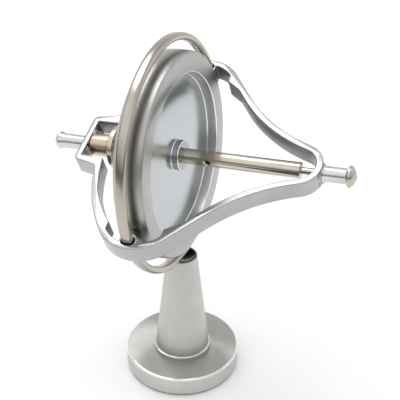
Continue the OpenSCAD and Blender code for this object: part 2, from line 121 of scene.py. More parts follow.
class StandSizes(bpy.types.PropertyGroup):
    """Sizes of the turned stand"""

    base_r: millimetres("Base radius", 17.0, "Radius of the round base")
    base_bottom: millimetres("Base underside", 0.1, "Height of the base's rim above the table")
    base_top: millimetres("Base top", 6.5, "Height of the base's top above the table")
    base_edge: millimetres("Base edge", 0.55, "Rounding of the base's upper edge")
    base_foot: millimetres("Base foot edge", 0.9, "Rounding of the base's lower edge")
    recess_r: millimetres("Pad recess radius", 14.8, "Radius of the recess for the pad")
    recess_top: millimetres("Pad recess top", 0.7, "Height of the recess above the table")
    bore_r: millimetres("Counterbore radius", 4.3, "Radius of the counterbore for the screw")
    bore_top: millimetres("Counterbore top", 3.8, "Height of the counterbore above the table")
    hole_r: millimetres("Screw hole radius", 2.1, "Radius of the hole for the screw")
    thread_r: millimetres("Thread radius", 2.0, "Radius of the screw's hole in the column")
    thread_top: millimetres("Thread top", 15.6, "Height of the screw's hole above the table")
    column_top_r: millimetres("Column top radius", 4.5, "Radius of the column at its top")
    column_foot_r: millimetres("Column foot radius", 8.2, "Radius of the column's cone at the base")
    foot_fillet: millimetres("Foot fillet", 0.55, "Radius of the fillet round the column's foot")
    foot_step: millimetres("Foot step", 0.495, "Width of the lip round the column's foot")
    # Painted shade: the column's tone is darkened from the base's top up to this height
    foot_shade: millimetres("Foot shade", 4.5, "Height to which the column's foot is duller")
    foot_lip: millimetres("Foot lip", 0.9, "Height of the lip under the fillet")
    socket_r: millimetres("Cup socket radius", 4.25, "Radius of the socket for the cup")
    socket_depth: millimetres("Cup socket depth", 3.25, "Depth of the socket for the cup")
    cup_r: millimetres("Cup radius", 4.2, "Radius of the turning cup")
    cup_h: millimetres("Cup height", 3.2, "Height of the turning cup")
    cup_rim: millimetres("Cup rim", 0.1, "Width of the rim round the dimple")
    dimple_depth: millimetres("Dimple depth", 1.6, "Depth of the dimple")


class GyroSizes(bpy.types.PropertyGroup):
    """Sizes of the guard ring, frame and pins"""

    ring_r: millimetres("Ring radius", 31.95, "Radius to the middle of the ring's section")
    ring_t: millimetres("Ring thickness", 2.1, "Thickness of the ring along its radius")
    ring_w: millimetres("Ring width", 3.1, "Width of the ring along the spin axis")
    frame_roll: angle("Frame turn", 21, "Turn of the frame about the spin axis at rest")
    frame_edge: millimetres("Frame edge", 0.3, "Width of the bevel on the frame's edges")
    box_x: millimetres("Box face", 26.4, "Distance of the box's face behind the ring")
    box_inner_x: millimetres("Box inner face", 24.65, "Distance of the box's inner face behind the ring")
    nose_inner_x: millimetres("Nose inner face", 40.65, "Distance of the nose's inner face from the ring")
    nose_face_x: millimetres("Nose boss face", 42.65, "Distance of the nose's boss from the ring")
    spigot_r: millimetres("Spigot radius", 2.3, "Radius of the pins' spigots")
    bush_r: millimetres("Bush radius", 1.6, "Radius of the bearing bushes")
    bush_length: millimetres("Bush length", 1.9, "Length of the bearing bushes")
    pocket_r: millimetres("Ball pocket radius", 0.8, "Radius of the thrust balls' pockets")
    pocket_depth: millimetres("Ball pocket depth", 1.55, "Depth of the thrust balls' pockets")
    collar_w: millimetres("Collar width", 0.3, "Width of the pins' collars at the frame")
    collar_gap: millimetres("Collar gap", 0.02, "Gap from the pins' collars to the frame")
    shank_r: millimetres("Shank radius", 2.1, "Radius of the pins' shanks")
    ball_r: millimetres("Round head radius", 2.55, "Radius of the back pin's round head")
    ball_dome: millimetres("Round head dome", 1.7, "Height of the back head's dome")
    ball_rim: millimetres("Round head rim", 0.25, "Width of the round head's widest part")
    ball_fall: millimetres("Round head fall", 0.05, "Narrowing of the round head behind its rim")
    ball_flare: millimetres("Round head flare", 1.2, "Length of the flare behind the round head")
    ball_tip_x: millimetres("Round head tip", 36.35, "Distance of the back head's tip behind the ring")
    head_r: millimetres("Head radius", 2.9, "Radius of the front pin's head")
    head_tip_x: millimetres("Head tip", 51.15, "Distance of the head's tip from the ring")
    head_dome: millimetres("Head dome", 1.4, "Height of the head's dome")
    head_rim: millimetres("Head rim", 0.5, "Thickness of the head's rim")
    head_flare: millimetres("Head flare", 0.5, "Length of the flare behind the head")
    dimple_r: millimetres("Head dimple", 0.75, "Radius of the dimple in the head")


class RotorSizes(bpy.types.PropertyGroup):
    """Sizes of the rotor and its axle"""

    rotor_r: millimetres("Rotor radius", 28.5, "Radius of the rim at its middle")
    crown: millimetres("Rim crown", 0.25, "Fall of the rim towards its edges")
    half_w: millimetres("Rim half width", 4.1, "Half of the rim's width")
    edge: millimetres("Rim edge", 0.4, "Chamfer on the rim's edges")
    recess_r: millimetres("Recess radius", 22.3, "Radius of the recess at the web")
    flare: millimetres("Recess flare", 0.45, "Opening of the recess towards the face")
    mouth_edge: millimetres("Mouth edge", 0.24, "Rounding of the recess's edge at the face")
    seam_bead: millimetres("Seam bead", 0.15, "Radius of the beads at the web's seams")
    web: millimetres("Web half thickness", 1.4, "Half of the web's thickness")
    hub_r: millimetres("Hub radius", 4.2, "Radius of the hub's collar")
    hub_h: millimetres("Hub height", 1.9, "Height of the hub's collar")
    hub_body_r: millimetres("Hub body radius", 3.0, "Radius of the hub in the web")
    axle_r: millimetres("Axle radius", 2.15, "Radius of the axle's front length")
    seat_r: millimetres("Axle seat radius", 1.75, "Radius of the axle's back length")
    shoulder_x: millimetres("Axle shoulder", 3.7, "Distance of the axle's shoulder from the ring")
    front_x: millimetres("Axle front", 36.6, "Distance of the axle's front end from the ring")
    chamfer: millimetres("Axle chamfer", 0.3, "Chamfer on the axle's front end")
    hole_r: millimetres("String hole radius", 0.7, "Radius of the string hole")
    hole_flare: millimetres("String hole flare", 0.4, "Opening of the string hole's mouths")
    hole_x: millimetres("String hole place", 10.9, "Distance of the string hole from the ring")
    hole_turn: angle("String hole turn", -10, "Angle of the string hole above the horizontal")
    sleeve_r: millimetres("Sleeve radius", 3.2, "Radius of the sleeve")
    sleeve_back: millimetres("Sleeve back", 24.0, "Distance of the sleeve's back end from the ring")
    sleeve_front: millimetres("Sleeve front", 17.2, "Distance of the sleeve's front end from the ring")
    flange_r: millimetres("Flange radius", 6.0, "Radius of the flange")
    flange_t: millimetres("Flange thickness", 1.4, "Thickness of the flange")
    pivot_r: millimetres("Pivot radius", 0.95, "Radius of the pivot pins")
    pivot_seat: millimetres("Pivot seat", 2.4, "Depth of the pivot pins in the axle")


class Finishes(bpy.types.PropertyGroup):
    """Colours of the metals"""

    aluminium: colour("Aluminium", (0.60, 0.59, 0.57), "Turned stand")
    ring: colour("Ring steel", (0.50, 0.465, 0.41), "Warm polished ring")
    cast: colour("Cast metal", (0.46, 0.465, 0.465), "Plated frame")
    # Painted shade: a darker metal for the frame's inner faces, where shade falls
    cast_inside: colour("Cast inside", (0.27, 0.275, 0.275), "Unpolished inside of the frame")
    pin: colour("Pin metal", (0.68, 0.68, 0.67), "Bright turned pins")
    head: colour("Head metal", (0.58, 0.53, 0.46), "Warm pin head")
    rotor: colour("Rotor steel", (0.45, 0.45, 0.445), "Turned rotor rim")
    # Burnished edges, their tint raised to paint the edge highlights on the rotor and the stand
    edge: colour("Burnished edge", (0.95, 0.95, 0.95), "Burnished edges of the rotor")
    disc: colour("Disc steel", (0.53, 0.555, 0.57), "Mirror-bright disc")
    axle: colour("Axle steel", (0.62, 0.565, 0.49), "Warm polished axle")
    sleeve: colour("Sleeve steel", (0.62, 0.51, 0.39), "Golden sleeve")
    hub: colour("Hub steel", (0.4, 0.405, 0.415), "Turned hub")
    cup: colour("Cup steel", (0.32, 0.32, 0.33), "Dark polished cup")
    pivot: colour("Pivot steel", (0.6, 0.57, 0.53), "Ground pivots and balls")
    brass: colour("Bush brass", (0.68, 0.49, 0.22), "Bearing bushes")
    rubber: colour("Pad rubber", (0.03, 0.03, 0.03), "Pad under the base")
    # This colour also paints shade on the base's lower rounding and inside the string hole
    fastener: colour("Fastener steel", (0.25, 0.25, 0.26), "Screw and washer")


class StageSettings(bpy.types.PropertyGroup):
    """Camera, floor and light"""

    camera_azimuth: angle("Camera azimuth", 21.684, "Direction that the camera looks, from +Y")
    camera_pitch: angle("Camera pitch", 32.175, "Angle of the camera's view below the horizon")
    camera_roll: angle("Camera roll", 0.275, "Turn of the picture")
    lens: FloatProperty(name="Lens", description="Focal length of the camera", default=86.53, min=10)
    distance: millimetres("Camera distance", 269.537, "Distance of the camera from its aim")
    aim_side: millimetres("Aim to the side", 5.216, "Aim to the right of the stand's axis")
    aim_height: millimetres("Aim height", 58.464, "Height of the camera's aim")
    floor_colour: colour("Floor", (0.87, 0.87, 0.865), "Plain pale floor")
    floor_glow: FloatProperty(
        name="Floor glow", description="Light added to the floor for the camera and metals", default=0.18
    )
    backdrop_colour: colour("Backdrop", (0.96, 0.96, 0.955), "Pale backdrop that the camera sees")
    floor_r: millimetres("Floor radius", 1100, "Radius of the floor")
    floor_left: millimetres("Floor to the left", 150, "Distance of the floor's middle left of the stand")
    floor_back: millimetres("Floor place", 400, "Distance of the floor's middle behind the stand")
    turns: IntProperty(name="Steps", description="Steps of a turned piece", default=128, min=24)


def sizes(name):
    """One of the scene's groups of sizes."""
    return getattr(bpy.context.scene, name)


def gyro_place(roll=0.0):
    """Matrix that carries local Z onto the spin axis, with the gyroscope's centre at the origin."""
    along = Matrix.Rotation(math.pi / 2, 4, "Y")
    return (
        Matrix.Translation(GYRO_CENTRE)
        @ Matrix.Rotation(-SPIN_TILT, 4, "Y")
        @ Matrix.Rotation(roll, 4, "X")
        @ along
    )


# Modelling


def clear_selection():
    """Leaves edit mode with nothing selected."""
    if bpy.context.mode != "OBJECT":
        bpy.ops.object.mode_set(mode="OBJECT")
    bpy.ops.object.select_all(action="DESELECT")


def select_only(piece):
    """Makes a piece the only one selected, and active."""
    clear_selection()
    piece.select_set(True)
    bpy.context.view_layer.objects.active = piece


def rounded(points, closed=False):
    """Places (radius, along, rounding) in millimetres as points in metres, each corner rounded by an arc."""
    steps = 5
    made = []
    count = len(points)
    for i, (r, z, size) in enumerate(points):
        corner = Vector((r, z))
        ends = closed or 0 < i < count - 1
        if not size or not ends:
            made.append(corner * MM)
            continue
        before = Vector(points[i - 1][:2]) - corner
        after = Vector(points[(i + 1) % count][:2]) - corner
        half = before.angle(after) / 2
        setback = min(size / math.tan(half), before.length * 0.49, after.length * 0.49)
        radius = setback * math.tan(half)
        middle = corner + (before.normalized() + after.normalized()).normalized() * (radius / math.sin(half))
        start = corner + before.normalized() * setback - middle
        stop = corner + after.normalized() * setback - middle
        sweep = start.angle_signed(stop)
        for k in range(steps + 1):
            turn = Matrix.Rotation(-sweep * k / steps, 2)
            made.append((middle + turn @ start) * MM)
    return made


def turn_profile(name, points, place=None, closed=False):
    """A turned piece: its profile is drawn by extruding a point, then spun about the axis."""
    clear_selection()
    outline = rounded(points, closed)
    if closed:
        outline.append(outline[0])
    bpy.ops.mesh.primitive_plane_add(size=MM, location=(0, 0, 0))
    piece = bpy.context.object
    piece.name = name
    piece.data.name = name
    bpy.ops.object.mode_set(mode="EDIT")
    bpy.ops.mesh.merge(type="CENTER")
    at = Vector((0, 0))
    for i, point in enumerate(outline):
        step = (point.x - at.x, 0, point.y - at.y)
        if i == 0:
            bpy.ops.transform.translate(value=step)
        else:
            bpy.ops.mesh.extrude_region_move(TRANSFORM_OT_translate={"value": step})
        at = point
    bpy.ops.mesh.select_all(action="SELECT")
    bpy.ops.mesh.remove_doubles(threshold=TINY)
    bpy.ops.mesh.spin(
        steps=sizes("stage_settings").turns, angle=2 * math.pi, center=(0, 0, 0), axis=(0, 0, 1)
    )
    bpy.ops.mesh.select_all(action="SELECT")
    bpy.ops.mesh.remove_doubles(threshold=TINY)
    bpy.ops.mesh.normals_make_consistent(inside=False)
    bpy.ops.object.mode_set(mode="OBJECT")
    if place is not None:
        piece.matrix_world = place
        bpy.ops.object.transform_apply(location=True, rotation=True, scale=True)
    bpy.ops.object.shade_smooth_by_angle(angle=TURNED_SHARP)
    return piece


def dome_points(base_r, height, tip_x, start_r, steps):
    """Places (radius, along) on a dome from a small radius out to its base."""
    dome = (base_r**2 + height**2) / (2 * height)
    start = math.asin(start_r / dome)
    spread = math.asin(base_r / dome) - start
    turns = [start + spread * k / steps for k in range(steps + 1)]
    return [(dome * math.sin(turn), tip_x - dome + dome * math.cos(turn)) for turn in turns]


def cut(piece, cutter):
    """Cuts one piece's shape out of another and removes the cutter."""
    select_only(piece)
    modifier = piece.modifiers.new("Cut", "BOOLEAN")
    modifier.operation = "DIFFERENCE"
    modifier.solver = "EXACT"
    modifier.object = cutter
    bpy.ops.object.modifier_apply(modifier=modifier.name)
    bpy.data.objects.remove(cutter)


def finish_piece(piece, body, nodes, material):
    """Gives a piece its material, its body and the nodes that it stands for."""
    piece.data.materials.clear()
    piece.data.materials.append(material)
    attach(piece, body)
    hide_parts(*nodes)


def burnish(piece, material, chosen, axis=SPIN_AXIS, centre=GYRO_CENTRE):
    """Gives another material to the faces that are chosen by their radius and their place along an axis."""
    piece.data.materials.append(material)
    last = len(piece.data.materials) - 1
    for face in piece.data.polygons:
        place = (face.center - centre) / MM
        along = place.dot(axis)
        if chosen((place - along * axis).length, along):
            face.material_index = last


def bead(radius, along, size, steps=6):
    """Profile of a small half-round bead on the web, from its outer side to its inner side."""
    turns = [math.pi * k / steps for k in range(steps + 1)]
    return [(radius + size * math.cos(turn), along + size * math.sin(turn), 0) for turn in turns]


# Materials


class Nodes:
    """Short way to add and join shader nodes in a material."""

    def __init__(self, name):
        self.material = bpy.data.materials.new(name)
        self.material.use_nodes = True
        self.tree = self.material.node_tree
        self.shader = self.tree.nodes["Principled BSDF"]

    def add(self, kind, settings=None, **inputs):
        node = self.tree.nodes.new(kind)
        for key, value in (settings or {}).items():
            setattr(node, key, value)
        for key, value in inputs.items():
            self.set(node, key.replace("_", " "), value)
        return node

    def set(self, node, key, value):
        socket = node.inputs[int(key)] if key.isdigit() else node.inputs[key]
        if isinstance(value, bpy.types.NodeSocket):
            self.tree.links.new(value, socket)
        else:
            socket.default_value = value

    def maths(self, operation, *values):
        node = self.add("ShaderNodeMath", {"operation": operation})
        for i, value in enumerate(values):
            self.set(node, str(i), value)
        return node.outputs[0]

    def vector(self, operation, a, b=(0, 0, 0)):
        node = self.add("ShaderNodeVectorMath", {"operation": operation})
        self.set(node, "0", a)
        self.set(node, "1", b)
        return node.outputs["Value" if operation in ("DOT_PRODUCT", "LENGTH") else "Vector"]

    def ramp(self, factor, stops):
        node = self.add("ShaderNodeValToRGB", Fac=factor)
        elements = node.color_ramp.elements
        while len(elements) < len(stops):
            elements.new(0.5)
        for element, (position, value) in zip(elements, stops):
            element.position = position
            element.color = (value, value, value, 1) if isinstance(value, (int, float)) else (*value, 1)
        return node.outputs["Color"]

    def noise(self, place, scale, detail, roughness):
        node = self.add("ShaderNodeTexNoise", Vector=place, Scale=scale, Detail=detail, Roughness=roughness)
        return node.outputs["Fac"]

    def bump(self, height, distance, strength):
        node = self.add("ShaderNodeBump", Height=height, Distance=distance, Strength=strength)
        self.set(self.shader, "Normal", node.outputs["Normal"])

    def position(self):
        return self.add("ShaderNodeTexCoord").outputs["Object"]


def metal(name, tint, roughness, axis=None, centre=(0, 0, 0), anisotropy=0.0, grooves=0.02, mottle=0.04,
          scratches=0.0, variation=0.05, foot=None):
    """A metal finish with fine tool marks about an axis, small changes of tone, and worn patches of gloss.

    foot is the height where painted shade at the foot is deepest, the height where it ends and the tone that
    it has at its deepest.
    """
    make = Nodes(name)
    shader = make.shader
    place = make.position()
    shader.inputs["Metallic"].default_value = 1.0
    cloud = make.noise(place, CLOUD_SCALE, 4.0, 0.6)
    darker = tuple(c * (1 - variation) for c in tint)
    lighter = tuple(min(1, c * (1 + variation)) for c in tint)
    tone = make.ramp(cloud, [(0.3, darker), (0.7, lighter)])
    # Painted shade: the tone darkens towards the foot, by height
    if foot:
        low, high, level = foot
        height = make.add("ShaderNodeSeparateXYZ", Vector=place).outputs["Z"]
        painted_foot_shade = make.add(
            "ShaderNodeMapRange", Value=height, From_Min=low, From_Max=high, To_Min=level, To_Max=1.0
        )
        tone = make.vector("MULTIPLY", tone, painted_foot_shade.outputs["Result"])
    make.set(shader, "Base Color", tone)
    rough = make.maths("MULTIPLY_ADD", cloud, mottle, roughness - mottle / 2)
    marks = make.maths("MULTIPLY", make.noise(place, SPECK_SCALE, 2.0, 0.5), 0.35)
    if axis is not None:
        from_axis = make.vector("SUBTRACT", place, tuple(centre))
        along = make.vector("DOT_PRODUCT", from_axis, tuple(axis))
        sideways = make.vector("CROSS_PRODUCT", from_axis, tuple(axis))
        radius = make.vector("LENGTH", sideways)
        lathe_place = make.add("ShaderNodeCombineXYZ", X=radius, Y=along).outputs[0]
        marks = make.maths("ADD", marks, make.noise(lathe_place, LATHE_SCALE, 3.0, 0.65))
        bands = make.noise(lathe_place, BAND_SCALE, 2.0, 0.5)
        rough = make.maths("ADD", rough, make.maths("MULTIPLY", bands, mottle))
        if anisotropy:
            world = make.add(
                "ShaderNodeVectorTransform",
                {"vector_type": "VECTOR", "convert_from": "OBJECT", "convert_to": "WORLD"},
                Vector=sideways,
            )
            make.set(shader, "Tangent", make.vector("NORMALIZE", world.outputs[0]))
            shader.inputs["Anisotropic"].default_value = anisotropy
    if scratches:
        worn = make.ramp(make.noise(place, WORN_SCALE, 8.0, 0.8), [(0.52, 0.0), (0.75, scratches)])
        rough = make.maths("ADD", rough, worn)
    make.set(shader, "Roughness", rough)
    make.bump(marks, 0.00002, grooves)
    return make.material


def spun_metal(name, tint, roughness, **marks):
    """A metal finish with its tool marks about the spin axis."""
    return metal(name, tint, roughness, axis=SPIN_AXIS, centre=GYRO_CENTRE, **marks)


def rubber(name, tint):
    """Matt rubber with a fine grain."""
    make = Nodes(name)
    place = make.position()
    grain = make.noise(place, GRAIN_SCALE, 3.0, 0.6)
    lighter = tuple(c * 1.6 for c in tint)
    make.set(make.shader, "Base Color", make.ramp(grain, [(0.3, tint), (0.8, lighter)]))
    make.set(make.shader, "Roughness", make.ramp(grain, [(0.2, 0.75), (0.8, 0.95)]))
    make.bump(grain, 0.00005, 0.4)
    return make.material


# Pieces


class GYRO_OT_turn_stand(bpy.types.Operator):
    """Turns the stand's base, its column and the cup"""

    bl_idname = "gyro.turn_stand"
    bl_label = "Turn the stand"

    def execute(self, context):
        s = context.scene.stand_sizes
        tints = context.scene.finishes
        up = (0, 0, 1)
        satin = metal(
            "satin_aluminium", tints.aluminium, 0.3, axis=up, anisotropy=0.92, grooves=0.12, mottle=0.05
        )
        # The column's metal carries painted shade towards its foot
        column_metal = metal(
            "column_aluminium_painted_shade", tints.aluminium, 0.42, axis=up, anisotropy=0.3, grooves=0.25, mottle=0.08,
            foot=(s.base_top * MM, (s.base_top + s.foot_shade) * MM, 0.68),
        )
        edge = s.base_edge
        rim_edge = 0.03
        base = turn_profile("base_turned", [
            (s.hole_r, s.bore_top, 0),
            (s.bore_r, s.bore_top, EASED),
            (s.bore_r, s.recess_top, EASED),
            (s.recess_r, s.recess_top, EASED),
            (s.recess_r, s.base_bottom, EASED),
            (s.base_r, s.base_bottom, s.base_foot),
            (s.base_r, s.base_top, edge),
            (s.hole_r, s.base_top, EASED),
        ], closed=True)
        finish_piece(base, "stand", ["stand_base"], satin)
        upright = {"axis": Vector(up), "centre": Vector((0, 0, 0))}
        # Brighter metal on the base's top edge and the column's foot fillet: burnished edges, brightened to
        # paint their highlights
        stand_painted_highlight = metal("stand_edge_painted_highlight", tints.edge, 0.16, axis=up, grooves=0.05, mottle=0.03)
        # Darker metal on the base's lower rounding paints the shade that it reflects from the floor beneath
        foot_painted_shade = metal("base_foot_painted_shade", tints.fastener, 0.4, axis=up, grooves=0.2)
        top_edge = s.base_top - edge
        burnish(base, stand_painted_highlight, lambda radius, z: radius > s.base_r - edge and z > top_edge, **upright)
        foot_top = s.base_bottom + s.base_foot
        burnish(base, foot_painted_shade, lambda radius, z: radius > s.base_r - s.base_foot and z < foot_top, **upright)
        column_top = CUP_TOP / MM
        slope = (s.column_foot_r - s.column_top_r) / (column_top - s.base_top)
        lip_z = s.base_top + s.foot_lip
        lip_r = s.column_foot_r - slope * s.foot_lip
        foot_r = lip_r + s.foot_step
        column = turn_profile("column_turned", [
            (0, s.thread_top, 0),
            (s.thread_r, s.thread_top, 0),
            (s.thread_r, s.base_top, 0),
            (foot_r, s.base_top, 0),
            (foot_r, lip_z, CRISP),
            (lip_r, lip_z, s.foot_fillet),
            (s.column_top_r, column_top, CRISP),
            (s.socket_r, column_top, rim_edge),
            (s.socket_r, column_top - s.socket_depth, 0),
            (0, column_top - s.socket_depth, 0),
        ])
        finish_piece(column, "stand", ["stand_column"], column_metal)
        fillet_top = lip_z + s.foot_fillet
        burnish(column, stand_painted_highlight, lambda radius, z: radius > lip_r and lip_z - CRISP < z < fillet_top, **upright)
        bowl = dome_points(s.cup_r - s.cup_rim, s.dimple_depth, 0, 0, steps=16)
        bowl_bottom = column_top - s.dimple_depth
        cup_bottom = column_top - s.cup_h
        cup = turn_profile("cup_polished", [(r, bowl_bottom - fall, 0) for r, fall in bowl] + [
            (s.cup_r, column_top, rim_edge),
            (s.cup_r, cup_bottom, EASED),
            (0, cup_bottom, 0),
        ])
        polished = metal("cup_polish", tints.cup, 0.16, axis=up, anisotropy=0.3, grooves=0.08, mottle=0.04)
        finish_piece(cup, "cup", ["cup_insert"], polished)
        return {"FINISHED"}


class GYRO_OT_turn_ring(bpy.types.Operator):
    """Turns the guard ring from its rounded section"""

    bl_idname = "gyro.turn_ring"
    bl_label = "Turn the guard ring"

    def execute(self, context):
        s = context.scene.gyro_sizes
        half = s.ring_t / 2
        ring = turn_profile("guard_ring_polished", [
            (s.ring_r - half, -s.ring_w / 2, half),
            (s.ring_r + half, -s.ring_w / 2, half),
            (s.ring_r + half, s.ring_w / 2, half),
            (s.ring_r - half, s.ring_w / 2, half),
        ], place=gyro_place(), closed=True)
        warm = spun_metal(
            "ring_steel_polish", context.scene.finishes.ring, 0.17,
            anisotropy=0.6, grooves=0.12, mottle=0.05, scratches=0.05,
        )
        finish_piece(ring, "ring", ["guard_ring"], warm)
        return {"FINISHED"}


class GYRO_OT_dress_frame(bpy.types.Operator):
    """Takes the frame's shape and softens its cast edges"""

    bl_idname = "gyro.dress_frame"
    bl_label = "Dress the cast frame"

    def execute(self, context):
        s = context.scene.gyro_sizes
        tints = context.scene.finishes
        source = frame["nodes"]["frame"]
        piece = bpy.data.objects.new("cast_frame", source.data.copy())
        piece.data.name = "cast_frame"
        context.scene.collection.objects.link(piece)
        select_only(piece)
        bpy.ops.object.mode_set(mode="EDIT")
        bpy.ops.mesh.select_all(action="SELECT")
        bpy.ops.mesh.remove_doubles(threshold=TINY)
        flat = math.radians(0.2)
        bpy.ops.mesh.dissolve_limited(angle_limit=flat)
        bpy.ops.object.mode_set(mode="OBJECT")
        bevel = piece.modifiers.new("Edges", "BEVEL")
        bevel.width = s.frame_edge * MM
        bevel.segments = 3
        bevel.limit_method = "ANGLE"
        bevel.angle_limit = CAST_BEVELLED
        bevel.use_clamp_overlap = False
        bpy.ops.object.modifier_apply(modifier=bevel.name)
        bpy.ops.object.shade_smooth_by_angle(angle=CAST_SHARP)
        cast = metal("cast_plate", tints.cast, 0.24, grooves=0.35, mottle=0.08, scratches=0.08)
        finish_piece(piece, "frame", ["frame"], cast)
        inside = metal("cast_inside", tints.cast_inside, 0.3, grooves=0.45, mottle=0.1, scratches=0.1)
        piece.data.materials.append(inside)
        context.view_layer.update()
        # A face that looks at another part of the frame gets the darker metal: painted shade on the frame's
        # inner faces
        for face in piece.data.polygons:
            start = face.center + face.normal * TINY * 10
            if piece.ray_cast(start, face.normal)[0]:
                face.material_index = 1
        return {"FINISHED"}


class GYRO_OT_turn_pins(bpy.types.Operator):
    """Turns the round-headed back pin and the flanged front pin"""

    bl_idname = "gyro.turn_pins"
    bl_label = "Turn the end pins"

    def execute(self, context):
        s = context.scene.gyro_sizes
        tints = context.scene.finishes
        place = gyro_place(s.frame_roll)
        dome_foot = -s.ball_tip_x + s.ball_dome
        round_head = [(r, -x, 0) for r, x in dome_points(s.ball_r, s.ball_dome, s.ball_tip_x, 0, steps=14)]
        bore_end = -s.box_inner_x - s.bush_length
        back = turn_profile("ball_pin_turned", round_head[:-1] + [
            (s.ball_r, dome_foot, 0.5),
            (s.ball_r - s.ball_fall, dome_foot + s.ball_rim, 0.4),
            (s.shank_r, dome_foot + s.ball_flare, 1.0),
            (s.shank_r, -s.box_x - s.collar_w, 0.25),
            (s.spigot_r, -s.box_x - s.collar_gap, EASED),
            (s.spigot_r, -s.box_inner_x, CRISP),
            (s.bush_r, -s.box_inner_x, 0),
            (s.bush_r, bore_end, 0),
            (s.pocket_r, bore_end, 0),
            (s.pocket_r, bore_end - s.pocket_depth, 0),
            (0, bore_end - s.pocket_depth, 0),
        ], place=place)
        bright = spun_metal("pin_bright", tints.pin, 0.18, anisotropy=0.45, grooves=0.2, mottle=0.06)
        finish_piece(back, "frame", ["ball_end_pin"], bright)
        front_bore = s.nose_inner_x + s.bush_length
        rim_front = s.head_tip_x - s.head_dome
        rim_back = rim_front - s.head_rim
        head = [
            (r, x, 0) for r, x in dome_points(s.head_r, s.head_dome, s.head_tip_x, s.dimple_r, steps=10)
        ]
        halfway = s.dimple_r * 0.7
        halfway_x = s.head_tip_x - s.dimple_r * 0.72
        dimple = [(0, s.head_tip_x - s.dimple_r, 0), (halfway, halfway_x, 0)]
        front = turn_profile("flange_pin_turned", dimple + head[:-1] + [
            (s.head_r, rim_front, EASED),
            (s.head_r, rim_back, 0.12),
            (s.shank_r, rim_back - s.head_flare, 0.4),
            (s.shank_r, s.nose_face_x + s.collar_w, 0.25),
            (s.spigot_r, s.nose_face_x + s.collar_gap, EASED),
            (s.spigot_r, s.nose_inner_x, CRISP),
            (s.bush_r, s.nose_inner_x, 0),
            (s.bush_r, front_bore, 0),
            (s.pocket_r, front_bore, 0),
            (s.pocket_r, front_bore + s.pocket_depth, 0),
            (0, front_bore + s.pocket_depth, 0),
        ], place=place)
        warm = spun_metal("pin_head_warm", tints.head, 0.22, anisotropy=0.4, grooves=0.2, mottle=0.06)
        finish_piece(front, "frame", ["flange_end_pin"], warm)
        burnish(front, bright, lambda radius, along: along < rim_back - EASED)
        return {"FINISHED"}


class GYRO_OT_turn_rotor(bpy.types.Operator):
    """Turns the rotor's rim, its mirror disc and its hub"""

    bl_idname = "gyro.turn_rotor"
    bl_label = "Turn the rotor"

    def execute(self, context):
        s = context.scene.rotor_sizes
        tints = context.scene.finishes
        place = gyro_place()
        edge_r = s.rotor_r - s.crown
        face_r = s.recess_r + s.flare
        steps = 8
        reach = s.half_w - s.edge
        shares = [k / steps for k in range(-steps, steps + 1)]
        crown = [(edge_r + s.crown * (1 - share**2), reach * share, 0) for share in shares]
        seam = bead(s.recess_r - s.seam_bead, s.web, s.seam_bead)
        rim = turn_profile("rotor_rim_turned", [(r, -x, 0) for r, x, _ in reversed(seam)] + [
            (face_r, -s.half_w, s.mouth_edge),
            (edge_r - s.edge, -s.half_w, SOFT),
        ] + crown + [
            (edge_r - s.edge, s.half_w, SOFT),
            (face_r, s.half_w, s.mouth_edge),
        ] + seam, place=place, closed=True)
        turned = spun_metal("rotor_turned", tints.rotor, 0.27, anisotropy=0.7, grooves=0.3, mottle=0.05)
        finish_piece(rim, "rotor", ["rotor_rim"], turned)
        # Brighter metal on the web's seam beads, the recess mouths and the hub collar's edge paints their
        # highlights
        bright = spun_metal("edge_painted_highlight", tints.edge, 0.12, grooves=0.05, mottle=0.03)
        mouth_r = face_r + s.mouth_edge
        burnish(rim, bright, lambda radius, along: radius < s.recess_r or (
            radius < mouth_r and abs(along) > s.half_w - s.mouth_edge
        ))
        disc_edge = 0.08
        disc = turn_profile("rotor_disc_polished", [
            (s.hub_body_r, -s.web, 0),
            (s.recess_r, -s.web, disc_edge),
            (s.recess_r, s.web, disc_edge),
            (s.hub_body_r, s.web, 0),
        ], place=place, closed=True)
        mirror = spun_metal(
            "disc_mirror", tints.disc, 0.19, anisotropy=0.5, grooves=0.1, mottle=0.03, variation=0.02
        )
        finish_piece(disc, "rotor", ["rotor_disc"], mirror)
        hub_x = s.web + s.hub_h
        hub_edge = 0.2
        back_edge = 0.15
        hub = turn_profile("hub_turned", [
            (s.seat_r, -hub_x, 0),
            (s.hub_body_r, -hub_x, back_edge),
            (s.hub_body_r, s.web, 0),
        ] + bead(s.hub_r + s.seam_bead, s.web, s.seam_bead) + [
            (s.hub_r, hub_x, hub_edge),
            (s.seat_r, hub_x, CRISP),
        ], place=place, closed=True)
        hub_metal = spun_metal("hub_bright", tints.hub, 0.2, anisotropy=0.5, grooves=0.15, mottle=0.05)
        finish_piece(hub, "rotor", ["hub_bush"], hub_metal)
        burnish(hub, bright, lambda radius, along: radius > s.hub_r or (
            radius > s.hub_r - hub_edge and along > hub_x - hub_edge
        ))
        flange = turn_profile("flange_turned", [
            (s.seat_r, -s.sleeve_front, 0),
            (s.flange_r, -s.sleeve_front, back_edge),
            (s.flange_r, -s.sleeve_front + s.flange_t, back_edge),
            (s.seat_r, -s.sleeve_front + s.flange_t, 0),
        ], place=place, closed=True)
        champagne = spun_metal(
            "flange_polish", tints.axle, 0.2, anisotropy=0.5, grooves=0.15, mottle=0.05
        )
        finish_piece(flange, "rotor", ["sleeve_flange"], champagne)
        return {"FINISHED"}


